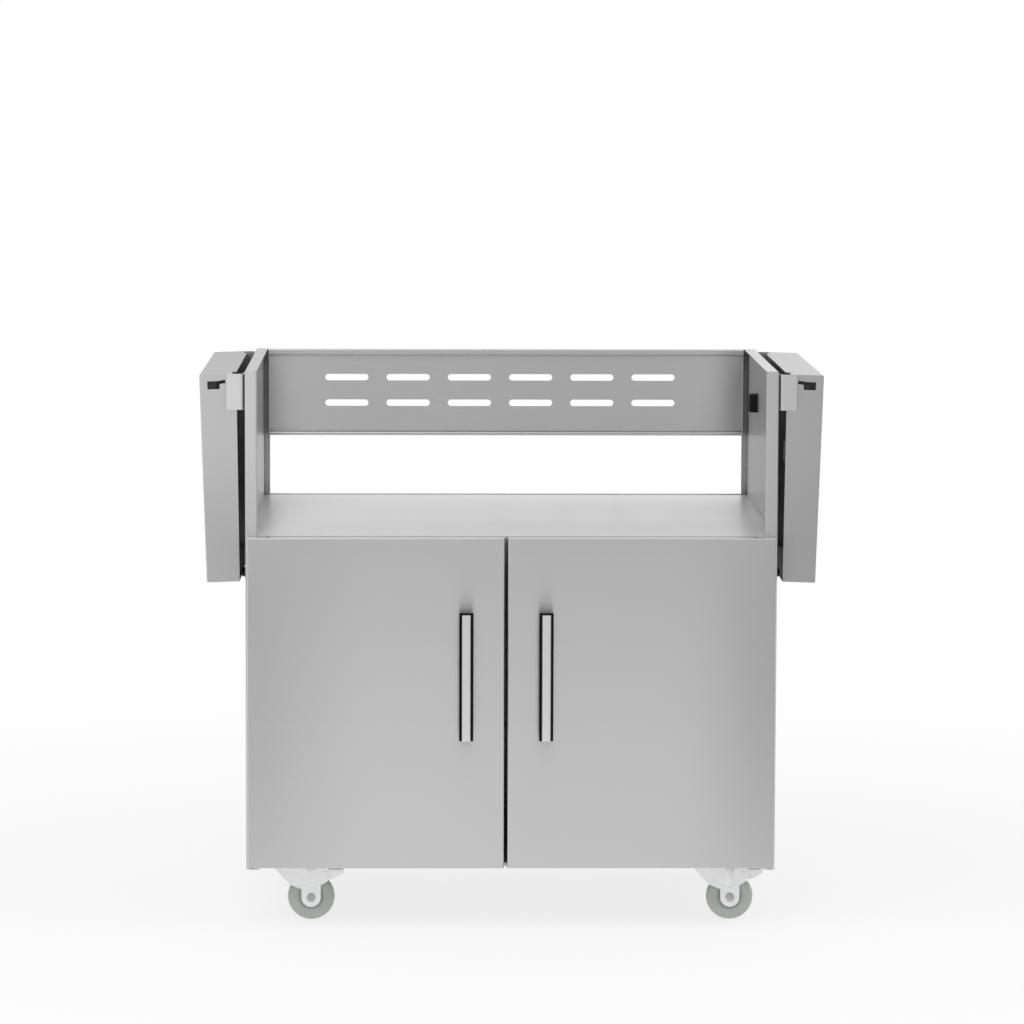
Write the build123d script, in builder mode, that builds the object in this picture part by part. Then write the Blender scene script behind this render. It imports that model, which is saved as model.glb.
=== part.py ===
from build123d import *
import math
import os

# Stainless grill cart: open grill bay above a two-door cabinet, a fold-down shelf on
# each side and four swivel casters. Millimetres, +Z up, doors toward -Y, floor at Z = 0.

os.makedirs("parts", exist_ok=True)

# Cart body
cart_width = 872.0          # outside of the two side panels
cart_depth = 545.0          # side panels, front edge to back edge
cart_height = 921.0         # floor to the top of the side panels
bay_height = 256.0          # deck up to the top of the side panels
sheet = 1.5                 # thickness of every folded panel
inner_bend = 1.0            # inside radius of a folded edge
fit = 0.2                   # air between neighbouring sheets of the body
flange = 19.5               # turned-in edge of a side panel
front_lip = 12.0            # return behind the front flange
panel_drop = 5.0            # side panels reach below the base pan
liner_inset = 13.0          # inner wall of the grill bay, inside the outer sheet
deck_flange = 25.0          # turned-down sides of the deck
deck_upstand = 2.0          # turned-up back edge of the deck
deck_run = 136.0            # front part of the deck that curves down
deck_drop = 15.0            # front edge of the deck below its flat part
header_height = 42.0        # rail under the front of the deck
header_return = 20.0        # its top and bottom returns
back_return = 15.0          # forward returns of the back panel

# Vent panel across the top of the back
vent_height = 150.6
vent_recess = 8.0           # the slotted face sits behind the folded edges
vent_edge_top = 10.0        # folded edge along the top
vent_edge_bottom = 6.0      # folded edge along the bottom
vent_hem = 4.0              # thickness of the two folded edges
vent_end_gap = 2.0          # air between the panel's ends and the side panels
vent_leg_cover = 11.5       # legs lap over the rear flanges
slot_columns = 6
slot_rows = 2
slot_length = 75.5
slot_width = 11.3
slot_pitch = 107.0
slot_row_pitch = 44.6
slot_drop = 71.8            # middle of the slot group below the top
slot_shift = -10.8          # the slot group is off centre

# Doors
door_thickness = 22.0
door_setoff = 5.0           # air between a door and the side panels
door_reveal = 3.0           # door edge inside the side panel
door_split = -9.0           # middle of the gap between the doors
door_gap = 5.0
liner_edge = 12.0           # turned edge of the inner door sheet
pivot_inset = 8.0           # pivot axis from the door's edge and back
pivot_radius = 3.0
pivot_air = 1.0             # air between a door and its pivot plates
pivot_reach = 12.0          # pin length inside a door
bush_wall = 1.4
running = 0.1               # radial air of a turning pin
collar_radius = 7.0
ear_radius = 11.0           # round nose of a pivot plate
ear_thickness = 3.0
upper_ear_thickness = 2.0
ear_sink = 0.5              # upper pivot plate below the top of the door

# Door handles
handle_reach = 40.0         # door face to the front of the bar
handle_length = 209.6
handle_middle = 425.0       # height of the handle's middle
handle_from_split = 65.3
handle_bar_width = 14.0
handle_bar_depth = 8.0
handle_channel_width = 23.0
handle_channel_depth = 12.0
handle_channel_over = 2.0   # channel shows above the bar
handle_post_radius = 5.0
handle_post_spacing = 150.0
handle_screw_radius = 2.5

# Magnet catches and their strikes
catch_length = 40.0
catch_height = 14.0
catch_depth = 16.0
strike_thickness = 0.8

# Folding side shelves, measured with the shelf level
shelf_length = 341.0        # edge near the cart to the outer edge
shelf_skirt_near = 60.5     # side skirt depth at the cart
shelf_skirt_far = 53.9      # side skirt depth at the outer edge
hinge_edge = 11.5           # pivot axis to the shelf edge near the cart
shelf_tuck = 12.0           # near skirt, from the pivot axis to its edge
shelf_notch = 50.0          # its corners are cut back this far for the brackets
pin_to_top = 47.3           # pivot axis to the shelf top while it hangs
hang_tilt = 1.9             # degrees a hanging shelf leans to the cart
lock_drop = 22.0            # travel along the slot when it is raised
slot_lean = 8.0             # degrees the slot leans to the outer edge
pin_offset = 26.6           # pivot axis outside the side panel
pin_drop = 16.5             # pivot axis below the top of the cart
pin_radius = 2.5
pin_head_radius = 5.0
pin_head = 3.0
pin_bearing = 0.05          # radial air of a pin in its bracket
slot_air = 0.2              # air on each side of a pin in its slot
pocket_near = 14.5          # pocket at the end of the slot, from the pivot
pocket_far = 34.5
pocket_width = 13.0
stiffener_width = 60.0
stiffener_depth = 18.0

# Shelf brackets and bumpers
bracket_sheet = 2.5
bracket_gap = 0.5           # air between a bracket and the shelf skirt
bracket_reach = 29.6
bracket_setoff = 2.5        # slit between the front plate and the side panel
bracket_step = 9.0          # depth of that slit
bracket_height = 58.6
bracket_top_drop = 5.0
bracket_leg = 45.0
bracket_bend = 5.0
bolt_radius = 3.0
bolt_head_radius = 5.5
bolt_head = 4.0
bolt_air = 0.1
bumper_radius = 8.0
bumper_inset = 70.0

# Casters
wheel_radius = 39.0
wheel_width = 26.0
hub_radius = 20.0
hub_extra = 1.0             # hub stands out of the tyre on each side
tyre_round = 7.0
caster_height = 108.0       # floor to the top of the caster plate
caster_inset_x = 87.5       # swivel axis inside the side panel
caster_inset_y = 80.0       # swivel axis inside the front or back edge
trail = 18.0                # wheel axle behind the swivel axis
plate_length = 92.0
plate_width = 64.0
plate_thickness = 2.5
plate_hole_x = 76.0
plate_hole_y = 46.0
race_radius = 29.0
race_thickness = 3.0
bearing_inner = 20.0
bearing_outer = 27.0
bearing_height = 3.0
king_pin_radius = 6.0
king_head_radius = 10.0
king_head = 4.0
swivel_air = 0.3
crown_radius = 30.0
crown_thickness = 3.0
fork_shoulder = 46.0        # half length of the fork's crown
fork_sheet = 2.5
fork_air = 2.0              # air between wheel and fork
shoulder_drop = 7.0         # straight part of the fork's leading edge
leg_radius = 16.0
leg_start = 53.0            # height where the leading edge meets the leg
leg_end = 59.3              # height where the trailing edge meets the leg
belly_x = 17.0              # knee of the fork's leading edge, from the swivel axis
belly_z = 60.5
trailing_drop = 32.8        # straight part of the fork's trailing edge
axle_radius = 4.0
axle_head_radius = 7.5
axle_head = 5.0
axle_nut = 6.5
sleeve_wall = 1.3
caster_bolt_radius = 4.0
caster_bolt_head_radius = 7.0
caster_bolt_head = 4.5
caster_nut = 6.0
backing_thickness = 3.0

# Brake pedals on the front casters
pedal_pin_x = 40.0          # pedal pin from the swivel axis
pedal_pin_z = 80.0
pedal_pin_radius = 3.0
pedal_boss = 6.0
pedal_root_x = 50.0         # lower edge where the pedal leaves the fork
pedal_root_z = 68.5
pedal_tip_x = 72.0
pedal_tip_z = 80.5
pedal_top_z = 86.0
pedal_tread_x = 52.0        # the wide foot piece starts here
pedal_tread_width = 40.0

# Small fittings
screw_radius = 2.0
screw_head_radius = 4.0
screw_head = 2.0
screw_length = 6.0
rear_screw_inset = 13.0
box_width = 14.0            # junction box on the right inside wall
box_length = 30.0
box_height = 31.0
box_from_front = 313.0
box_drop = 76.0

# Derived levels and planes
total_depth = handle_reach + door_thickness + door_setoff + cart_depth + screw_head
front_y = -total_depth / 2 + handle_reach + door_thickness + door_setoff
back_y = front_y + cart_depth
mid_y = (front_y + back_y) / 2
half_width = cart_width / 2
skin_inner = half_width - sheet
flange_inner = half_width - flange
liner_face = half_width - liner_inset
body_edge = skin_inner - fit
bend = inner_bend + sheet
base_z = caster_height
base_top = base_z + sheet
side_bottom = base_z - panel_drop
deck_top = cart_height - bay_height
deck_under = deck_top - sheet
deck_front_top = deck_top - deck_drop
rail_top = deck_front_top - sheet
rear_face = back_y - sheet
deck_edge = liner_face - fit
deck_rear = rear_face - sheet - fit
deck_front = front_y + fit
curve_start = deck_front + deck_run
deck_side_run = (curve_start, deck_rear - 2 * back_return)
door_back = front_y - door_setoff
door_front = door_back - door_thickness
door_bottom = side_bottom + pivot_air
door_top = deck_front_top
pivot_x = half_width - door_reveal - pivot_inset
pivot_y = door_back - pivot_inset
header_x = flange_inner - fit
header_bottom = rail_top - header_height
bush_radius = pivot_radius + running + bush_wall
arm_near = 2 * pivot_radius + pivot_inset
arm_far = arm_near + ear_radius
recess_floor = door_top - ear_sink - upper_ear_thickness - pivot_air
recess_reach = math.hypot(arm_far, pivot_inset) + pivot_air
bush_seats = ((door_bottom, 1), (recess_floor, -1))
shelf_pivot_x = half_width + pin_offset
shelf_pivot_z = cart_height - pin_drop
shelf_front = front_y + bracket_sheet + bracket_gap
shelf_half_depth = mid_y - shelf_front
shelf_near_low = pin_to_top - shelf_skirt_near
shelf_far_low = pin_to_top - shelf_skirt_far
shelf_far_edge = shelf_length - hinge_edge
tilt = math.radians(hang_tilt)
bracket_top = cart_height - bracket_top_drop
bracket_bottom = bracket_top - bracket_height
caster_x = half_width - caster_inset_x
caster_spots = {
    "front_left": (-caster_x, front_y + caster_inset_y),
    "front_right": (caster_x, front_y + caster_inset_y),
    "rear_left": (-caster_x, back_y - caster_inset_y),
    "rear_right": (caster_x, back_y - caster_inset_y),
}
braked = ("front_left", "front_right")
sides = {"left": -1, "right": 1}
axle_z = wheel_radius
plate_bottom = caster_height - plate_thickness
race_bottom = plate_bottom - race_thickness
bearing_bottom = race_bottom - bearing_height
crown_top = bearing_bottom - swivel_air
crown_bottom = crown_top - crown_thickness
king_head_top = crown_bottom - swivel_air
fork_inside = wheel_width / 2 + fork_air
fork_outside = fork_inside + fork_sheet


def save(part, name):
    part.label = name
    export_step(part, f"parts/{name}.step")


def slab(x_span, y_span, z_span, mode=Mode.ADD):
    """A box between two corners, given as the ends of its three spans."""
    spans = (x_span, y_span, z_span)
    middle = tuple((a + b) / 2 for a, b in spans)
    size = [abs(b - a) for a, b in spans]
    with Locations(middle):
        Box(*size, mode=mode)


def patch(x_span, y_span, mode=Mode.ADD):
    """A rectangle between two corners of the sketch being drawn."""
    with Locations(((x_span[0] + x_span[1]) / 2, (y_span[0] + y_span[1]) / 2)):
        Rectangle(abs(x_span[1] - x_span[0]), abs(y_span[1] - y_span[0]), mode=mode)


def rod(spot, radius, length, turn=(0, 0, 0), mode=Mode.ADD):
    """A cylinder about its middle, along Z unless it is turned."""
    with Locations(spot):
        Cylinder(radius, length, rotation=turn, mode=mode)


along_x = (0, 90, 0)
along_y = (90, 0, 0)


# Places where fasteners go, shared by the holes and by the fasteners themselves

def bracket_bolt_spots(side, end):
    """Bolt centres on the side panel: side -1 or 1, end -1 for front or 1 for rear."""
    y = mid_y + end * (cart_depth / 2 - bracket_leg * 2 / 3)
    middle = (bracket_top + bracket_bottom) / 2
    return [(side * half_width, y, middle + step * bracket_height * 0.3) for step in (-1, 1)]


def rear_screw_spots(side):
    x = side * (half_width - rear_screw_inset)
    cabinet = deck_under - base_top
    low = [base_top + cabinet * part for part in (0.1, 0.36, 0.62, 0.88)]
    high = [deck_top + bay_height * part for part in (0.2, 0.88)]
    return [(x, z) for z in low + high]


def deck_screw_spots(side):
    z = deck_under - deck_flange / 2
    start, end = deck_side_run
    return [(side * deck_edge, start + part * (end - start), z) for part in (0.1, 0.5, 0.9)]


def caster_bolt_spots(spot):
    return [
        (spot[0] + i * plate_hole_x / 2, spot[1] + j * plate_hole_y / 2)
        for i in (-1, 1)
        for j in (-1, 1)
    ]


# Side panels: one folded sheet each, with turned-in edges all round

def side_panel(side):
    outer = side * half_width
    skin = side * skin_inner
    inner = side * flange_inner
    with BuildPart() as panel:
        with BuildSketch(Plane.XY.offset(side_bottom)):
            patch((outer, skin), (front_y, back_y))
            patch((outer, inner), (front_y, front_y + sheet))
            patch((inner, inner + side * sheet), (front_y, front_y + front_lip))
            patch((outer, inner), (rear_face, back_y))
        extrude(amount=cart_height - side_bottom)
        slab((outer, inner), (front_y, back_y), (cart_height - sheet, cart_height))
        slab((outer, inner), (front_y, back_y), (side_bottom, side_bottom + sheet))
        face = panel.faces().sort_by(Axis.X)[0 if side < 0 else -1]
        fillet(face.edges(), radius=bend)
        front_corner = (inner, front_y, (side_bottom + cart_height) / 2)
        fillet(panel.edges().filter_by(Axis.Z).sort_by_distance(front_corner)[0], radius=bend)
        for end in (-1, 1):
            for spot in bracket_bolt_spots(side, end):
                rod(spot, bolt_radius + bolt_air, 4 * sheet, along_x, Mode.SUBTRACT)
        for x, z in rear_screw_spots(side):
            rod((x, back_y, z), screw_radius + bolt_air, 4 * sheet, along_y, Mode.SUBTRACT)
    return panel.part


def side_liner(side):
    """Inner wall of the grill bay: hangs beside the deck, its edges turned out to the panel."""
    face = side * liner_face
    wall = side * body_edge
    start = front_y + sheet + fit
    run = (start, back_y - screw_length - sheet)
    low_run = (start, rear_face - back_return - fit)
    low = deck_under - deck_flange
    high = cart_height - sheet - fit
    with BuildPart() as liner:
        slab((face, face + side * sheet), run, (deck_top, high))
        slab((face, face + side * sheet), low_run, (low, deck_top))
        slab((face, wall), low_run, (low, low + sheet))
        slab((face, wall), run, (high - sheet, high))
        for spot in deck_screw_spots(side):
            rod(spot, screw_radius + bolt_air, 6 * sheet, along_x, Mode.SUBTRACT)
    return liner.part


for word, side in sides.items():
    save(side_panel(side), f"side_panel_{word}")
    save(side_liner(side), f"side_liner_{word}")

# Deck under the grill bay: flat, then curving down to its front edge
deck_curve = (deck_run ** 2 + deck_drop ** 2) / (2 * deck_drop)
edge_slope = math.asin(deck_run / deck_curve)
under_edge = (deck_front + sheet * math.sin(edge_slope), deck_front_top - sheet * math.cos(edge_slope))
with BuildPart() as deck:
    with BuildSketch(Plane.YZ.offset(-deck_edge)):
        with BuildLine():
            Polyline((curve_start, deck_under), (deck_rear, deck_under), (deck_rear, deck_top),
                     (curve_start, deck_top))
            TangentArc((curve_start, deck_top), (deck_front, deck_front_top), tangent=(-1, 0))
            Line((deck_front, deck_front_top), under_edge)
            TangentArc((curve_start, deck_under), under_edge, tangent=(-1, 0))
        make_face()
    extrude(amount=2 * deck_edge)
    for side in (-1, 1):
        slab((side * header_x, side * deck_edge), (front_y, front_y + front_lip + fit),
             (header_bottom, deck_top), Mode.SUBTRACT)
        slab((side * deck_edge, side * (deck_edge - sheet)), deck_side_run,
             (deck_under - deck_flange, deck_under))
        for spot in deck_screw_spots(side):
            rod(spot, screw_radius + bolt_air, 6 * sheet, along_x, Mode.SUBTRACT)
    slab((-header_x, header_x), (deck_rear - sheet, deck_rear), (deck_under, deck_top + deck_upstand))
save(deck.part, "deck")

# Header rail under the front edge of the deck
with BuildPart() as front_header:
    slab((-header_x, header_x), (front_y, front_y + sheet), (header_bottom, rail_top))
    slab((-header_x, header_x), (front_y, front_y + header_return), (rail_top - sheet, rail_top))
    slab((-header_x, header_x), (front_y, front_y + header_return),
         (header_bottom, header_bottom + sheet))
save(front_header.part, "front_header")

# Base pan, standing on the side panels' bottom flanges
base_rear = rear_face - fit
with BuildPart() as base_pan:
    with BuildSketch(Plane.XY.offset(base_z)):
        patch((-body_edge, body_edge), (front_y + front_lip + fit, base_rear))
        patch((-header_x, header_x), (front_y, front_y + front_lip + fit))
    extrude(amount=sheet)
    for side in (-1, 1):
        slab((side * body_edge, side * (body_edge - sheet)), (front_y + front_lip + fit, base_rear),
             (side_bottom + sheet, base_z))
    slab((-header_x, header_x), (front_y, front_y + sheet), (side_bottom, base_z))
    for spot in caster_spots.values():
        for x, y in caster_bolt_spots(spot):
            rod((x, y, base_z), caster_bolt_radius + bolt_air, 4 * sheet, mode=Mode.SUBTRACT)
save(base_pan.part, "base_pan")

# Back panel of the cabinet, in front of the rear flanges
with BuildPart() as back_panel:
    back_span = (rear_face - sheet, rear_face)
    return_span = (rear_face - back_return, rear_face)
    slab((-body_edge, body_edge), back_span, (base_top, deck_under))
    slab((-body_edge, body_edge), return_span, (base_top, base_top + sheet))
    slab((-body_edge, body_edge), return_span, (deck_under - sheet, deck_under))
    for side in (-1, 1):
        for x, z in rear_screw_spots(side):
            rod((x, back_y, z), screw_radius + bolt_air, 10 * sheet, along_y, Mode.SUBTRACT)
save(back_panel.part, "back_panel")

# Vent panel with folded edges, and two legs down to the cabinet
vent_bottom = cart_height - vent_height
vent_front = rear_face - sheet - 2 * vent_recess
vent_face = vent_front + vent_recess
vent_end = header_x - vent_end_gap
vent_span = (-vent_end, vent_end)
leg_outer = flange_inner + vent_leg_cover
with BuildPart() as vent_panel:
    slab(vent_span, (vent_front, vent_front + vent_hem), (cart_height - vent_edge_top, cart_height))
    slab(vent_span, (vent_front, vent_front + vent_hem), (vent_bottom, vent_bottom + vent_edge_bottom))
    hem_fronts = vent_panel.faces().filter_by(Axis.Y).sort_by(Axis.Y)[:2]
    fillet(hem_fronts.edges().filter_by(Axis.X), radius=vent_hem / 2)
    slab(vent_span, (vent_face, vent_face + sheet), (vent_bottom, cart_height))
    slab(vent_span, (vent_front + vent_hem / 2, vent_face), (cart_height - sheet, cart_height))
    slab(vent_span, (vent_front + vent_hem / 2, vent_face), (vent_bottom, vent_bottom + sheet))
    for side in (-1, 1):
        slab((side * vent_end, side * (vent_end - sheet)), (vent_front + vent_hem / 2, rear_face),
             (vent_bottom, cart_height))
        slab((side * (vent_end - sheet), side * leg_outer), (rear_face - sheet, rear_face),
             (deck_under, cart_height - sheet - fit))
        for x, z in rear_screw_spots(side):
            rod((x, back_y, z), screw_radius + bolt_air, 10 * sheet, along_y, Mode.SUBTRACT)
    with BuildSketch(Plane.XZ.offset(-vent_face)):
        with Locations((slot_shift, cart_height - slot_drop)):
            with GridLocations(slot_pitch, slot_row_pitch, slot_columns, slot_rows):
                SlotOverall(slot_length, slot_width)
    extrude(amount=2 * sheet, both=True, mode=Mode.SUBTRACT)
save(vent_panel.part, "vent_panel")

# Screws that hold the back and vent panels, and the deck
with BuildPart() as panel_screws:
    for side in (-1, 1):
        for x, z in rear_screw_spots(side):
            rod((x, back_y + screw_head / 2, z), screw_head_radius, screw_head, along_y)
            rod((x, back_y - screw_length / 2, z), screw_radius, screw_length, along_y)
        head_face = deck_edge - sheet
        for x, y, z in deck_screw_spots(side):
            rod((side * (head_face - screw_head / 2), y, z), screw_head_radius, screw_head, along_x)
            rod((side * (head_face + screw_length / 2), y, z), screw_radius, screw_length, along_x)
save(panel_screws.part, "panel_screws")

# Junction box on the right inside wall
box_y = front_y + box_from_front
box_z = cart_height - box_drop
with BuildPart() as junction_box:
    slab((liner_face - box_width, liner_face), (box_y - box_length / 2, box_y + box_length / 2),
         (box_z - box_height / 2, box_z + box_height / 2))
    fillet(junction_box.faces().sort_by(Axis.X)[0].edges(), radius=2 * sheet)
save(junction_box.part, "junction_box")


# Door pivots: a plate with a round nose and a pin, two low and two high

def lower_pivot(side):
    with BuildPart() as pivot:
        with BuildSketch(Plane.XY.offset(side_bottom - ear_thickness)):
            with Locations((side * pivot_x, pivot_y)):
                Circle(ear_radius)
            patch((side * (pivot_x - ear_radius), side * (pivot_x + pivot_inset)),
                  (pivot_y, front_y + 2 * flange))
        extrude(amount=ear_thickness)
        top = door_bottom + pivot_reach
        rod((side * pivot_x, pivot_y, (side_bottom + top) / 2), pivot_radius, top - side_bottom)
    return pivot.part


def upper_pivot(side):
    ear_bottom = recess_floor + pivot_air
    ear_top = ear_bottom + upper_ear_thickness
    leg_out = pivot_x - arm_near
    leg_in = pivot_x - arm_far
    with BuildPart() as pivot:
        with BuildSketch(Plane.XY.offset(ear_bottom)):
            with Locations((side * pivot_x, pivot_y)):
                Circle(pivot_inset)
            patch((side * leg_in, side * pivot_x), (pivot_y - pivot_inset, front_y))
        extrude(amount=upper_ear_thickness)
        slab((side * leg_in, side * leg_out), (front_y - upper_ear_thickness, front_y),
             (header_bottom, ear_top))
        bottom = recess_floor - pivot_reach
        rod((side * pivot_x, pivot_y, (ear_bottom + bottom) / 2), pivot_radius, ear_bottom - bottom)
    return pivot.part


pivots = [lower_pivot(side) for side in (-1, 1)]
pivots += [upper_pivot(side) for side in (-1, 1)]
with BuildPart() as door_pivots:
    add(pivots)
save(door_pivots.part, "door_pivots")

# Magnet catches under the header, one for each door
catch_from_split = catch_length
strike_back = door_back + strike_thickness
with BuildPart() as magnet_catches:
    for side in (-1, 1):
        x = door_split + side * catch_from_split
        front = strike_back + fit
        slab((x - catch_length / 2, x + catch_length / 2), (front, front + catch_depth),
             (header_bottom - catch_height, header_bottom))
save(magnet_catches.part, "magnet_catches")


# Doors: an outer folded skin and an inner folded sheet

def door_span(side):
    """The door's outer and inner edge along X."""
    return side * (half_width - door_reveal), door_split + side * door_gap / 2


def handle_x(side):
    return door_split + side * handle_from_split


def handle_post_spots(side):
    return [(handle_x(side), handle_middle + step * handle_post_spacing / 2) for step in (-1, 1)]


def door_skin(side):
    outer, inner = door_span(side)
    with BuildPart() as skin:
        slab((outer, inner), (door_front, door_back), (door_bottom, door_top))
        fillet(skin.faces().sort_by(Axis.Y)[0].edges(), radius=bend)
        depth = (door_front + sheet, door_back)
        slab((outer - side * sheet, inner + side * sheet), depth,
             (door_bottom + sheet, door_top - sheet), Mode.SUBTRACT)
        recess = side * (pivot_x - recess_reach)
        slab((outer - side * sheet, recess - side * sheet), depth, (recess_floor - sheet, door_top - sheet))
        slab((outer, recess), depth, (recess_floor, door_top), Mode.SUBTRACT)
        for z, up in bush_seats:
            rod((side * pivot_x, pivot_y, z), bush_radius + running, 4 * sheet, mode=Mode.SUBTRACT)
        for x, z in handle_post_spots(side):
            rod((x, door_front, z), handle_screw_radius + bolt_air, 4 * sheet, along_y, Mode.SUBTRACT)
    return skin.part


def door_liner(side):
    outer, inner = door_span(side)
    edge = sheet + fit
    x_span = (outer - side * edge, inner + side * edge)
    z_span = (door_bottom + edge, door_top - edge)
    with BuildPart() as liner:
        slab(x_span, (door_back - liner_edge, door_back), z_span)
        slab((x_span[0] - side * sheet, x_span[1] + side * sheet),
             (door_back - liner_edge, door_back - sheet),
             (z_span[0] + sheet, z_span[1] - sheet), Mode.SUBTRACT)
        room = collar_radius + sheet
        for z, up in bush_seats:
            slab((side * (pivot_x - room), outer), (pivot_y - room, door_back - sheet),
                 (z - pivot_reach - 2 * sheet, z + pivot_reach + 2 * sheet), Mode.SUBTRACT)
        slab((side * (pivot_x - recess_reach - edge), outer), (door_back - liner_edge, door_back),
             (recess_floor - edge, door_top), Mode.SUBTRACT)
    return liner.part


def pivot_bushes(side):
    with BuildPart() as bushes:
        for z, up in bush_seats:
            collar = pivot_air - swivel_air
            spot = (side * pivot_x, pivot_y)
            rod((*spot, z - up * collar / 2), collar_radius, collar)
            rod((*spot, z + up * pivot_reach / 2), bush_radius, pivot_reach)
        for z, up in bush_seats:
            rod((side * pivot_x, pivot_y, z), pivot_radius + running, 4 * pivot_reach, mode=Mode.SUBTRACT)
    return bushes.part


def strike_plate(side):
    x = door_split + side * catch_from_split
    with BuildPart() as strike:
        slab((x - catch_length / 2, x + catch_length / 2), (door_back, strike_back),
             (header_bottom - catch_height, header_bottom))
    return strike.part


# Handles: a bright bar on a dark channel, on two posts screwed through the skin

handle_low = handle_middle - handle_length / 2
handle_high = handle_middle + handle_length / 2
bar_front = door_front - handle_reach
bar_back = bar_front + handle_bar_depth
channel_back = bar_back + handle_channel_depth


def handle_bar(side):
    x = handle_x(side)
    with BuildPart() as bar:
        slab((x - handle_bar_width / 2, x + handle_bar_width / 2), (bar_front, bar_back),
             (handle_low, handle_high - handle_channel_over))
        fillet(bar.faces().sort_by(Axis.Y)[0].edges(), radius=handle_bar_depth / 4)
    return bar.part


def handle_channel(side):
    x = handle_x(side)
    with BuildPart() as channel:
        slab((x - handle_channel_width / 2, x + handle_channel_width / 2), (bar_back, channel_back),
             (handle_low, handle_high))
        fillet(channel.edges().filter_by(Axis.Z), radius=handle_bar_depth / 4)
        for spot_x, z in handle_post_spots(side):
            rod((spot_x, channel_back, z), handle_screw_radius + bolt_air, handle_channel_depth,
                along_y, Mode.SUBTRACT)
    return channel.part


def handle_mounts(side):
    post = door_front - channel_back
    tip = channel_back - handle_channel_depth / 2 + bolt_air
    head = door_front + sheet
    with BuildPart() as mounts:
        for x, z in handle_post_spots(side):
            rod((x, (door_front + channel_back) / 2, z), handle_post_radius, post, along_y)
            rod((x, (door_front + channel_back) / 2, z), handle_screw_radius + bolt_air, post, along_y,
                Mode.SUBTRACT)
        for x, z in handle_post_spots(side):
            rod((x, head + screw_head / 2, z), 2 * handle_screw_radius, screw_head, along_y)
            rod((x, (head + tip) / 2, z), handle_screw_radius, head - tip, along_y)
    return mounts.part


for word, side in sides.items():
    save(door_skin(side), f"door_skin_{word}")
    save(door_liner(side), f"door_liner_{word}")
    save(pivot_bushes(side), f"pivot_bushes_{word}")
    save(strike_plate(side), f"strike_plate_{word}")
    save(handle_bar(side), f"handle_bar_{word}")
    save(handle_channel(side), f"handle_channel_{word}")
    save(handle_mounts(side), f"handle_mounts_{word}")


# Shelves: drawn on a plane through the pivot axis, x toward the outer edge and
# y toward the shelf top, so the hanging tilt is set in one place

def shelf_plane(side):
    return Plane(
        origin=(side * shelf_pivot_x, mid_y, shelf_pivot_z),
        x_dir=(-side * math.sin(tilt), 0, -math.cos(tilt)),
        z_dir=(0, -side, 0),
    )


def shelf_pan(side):
    plane = shelf_plane(side)
    below = 2 * shelf_skirt_near
    slot_turn = 90 - slot_lean
    slot_along = math.radians(slot_turn)
    with BuildPart() as pan:
        with BuildSketch(plane):
            with BuildLine():
                Polyline(
                    (-hinge_edge, shelf_near_low),
                    (-hinge_edge, pin_to_top),
                    (shelf_far_edge, pin_to_top),
                    (shelf_far_edge, shelf_far_low),
                    close=True,
                )
            make_face()
        extrude(amount=shelf_half_depth, both=True)
        top = pan.faces().sort_by(Axis.X)[0 if side < 0 else -1]
        fillet(top.edges(), radius=bend)
        with BuildSketch(plane):
            patch((-hinge_edge + sheet, shelf_far_edge - sheet), (pin_to_top - below, pin_to_top - sheet))
        extrude(amount=shelf_half_depth - sheet, both=True, mode=Mode.SUBTRACT)
        with BuildSketch(plane):
            middle = (lock_drop / 2 * math.cos(slot_along), lock_drop / 2 * math.sin(slot_along))
            with Locations(middle):
                SlotCenterToCenter(lock_drop, 2 * (pin_radius + slot_air), rotation=slot_turn)
            patch((0, pocket_width), (pocket_near, pocket_far))
        extrude(amount=2 * shelf_half_depth, both=True, mode=Mode.SUBTRACT)
        with BuildSketch(plane):
            patch((-2 * hinge_edge, 0), (-below, -shelf_tuck))
        extrude(amount=2 * shelf_half_depth, both=True, mode=Mode.SUBTRACT)
        for end in (-1, 1):
            with BuildSketch(plane.offset(end * (shelf_half_depth - shelf_notch))):
                patch((-2 * hinge_edge, 0), (-below, 0))
                Circle(hinge_edge, mode=Mode.SUBTRACT)
            extrude(amount=end * 2 * shelf_notch, mode=Mode.SUBTRACT)
    return pan.part


def shelf_stiffener(side):
    plane = shelf_plane(side)
    middle = shelf_length / 2 - hinge_edge
    under = pin_to_top - sheet
    half_run = shelf_half_depth - sheet - fit
    with BuildPart() as stiffener:
        with BuildSketch(plane):
            patch((middle - stiffener_width / 2, middle + stiffener_width / 2),
                  (under - stiffener_depth, under))
            patch((middle - stiffener_width / 4, middle + stiffener_width / 4),
                  (under - stiffener_depth + sheet, under), mode=Mode.SUBTRACT)
            for sign in (-1, 1):
                near = middle + sign * (stiffener_width / 4 + sheet)
                patch((near, middle + sign * stiffener_width / 2),
                      (under - stiffener_depth, under - sheet), mode=Mode.SUBTRACT)
        extrude(amount=half_run, both=True)
    return stiffener.part


def pin_ends(end):
    """Along Y: outer end of the pin, back of its head and front of its head."""
    skirt_inside = cart_depth / 2 - bracket_sheet - bracket_gap - sheet
    head = skirt_inside - bracket_gap
    outer = cart_depth / 2 - bracket_sheet / 3
    return [mid_y + end * step for step in (outer, head, head - pin_head)]


def shelf_pins(side):
    with BuildPart() as pins:
        for end in (-1, 1):
            outer, head, tip = pin_ends(end)
            spot = (side * shelf_pivot_x, shelf_pivot_z)
            rod((spot[0], (outer + head) / 2, spot[1]), pin_radius, abs(outer - head), along_y)
            rod((spot[0], (head + tip) / 2, spot[1]), pin_head_radius, pin_head, along_y)
    return pins.part


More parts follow.
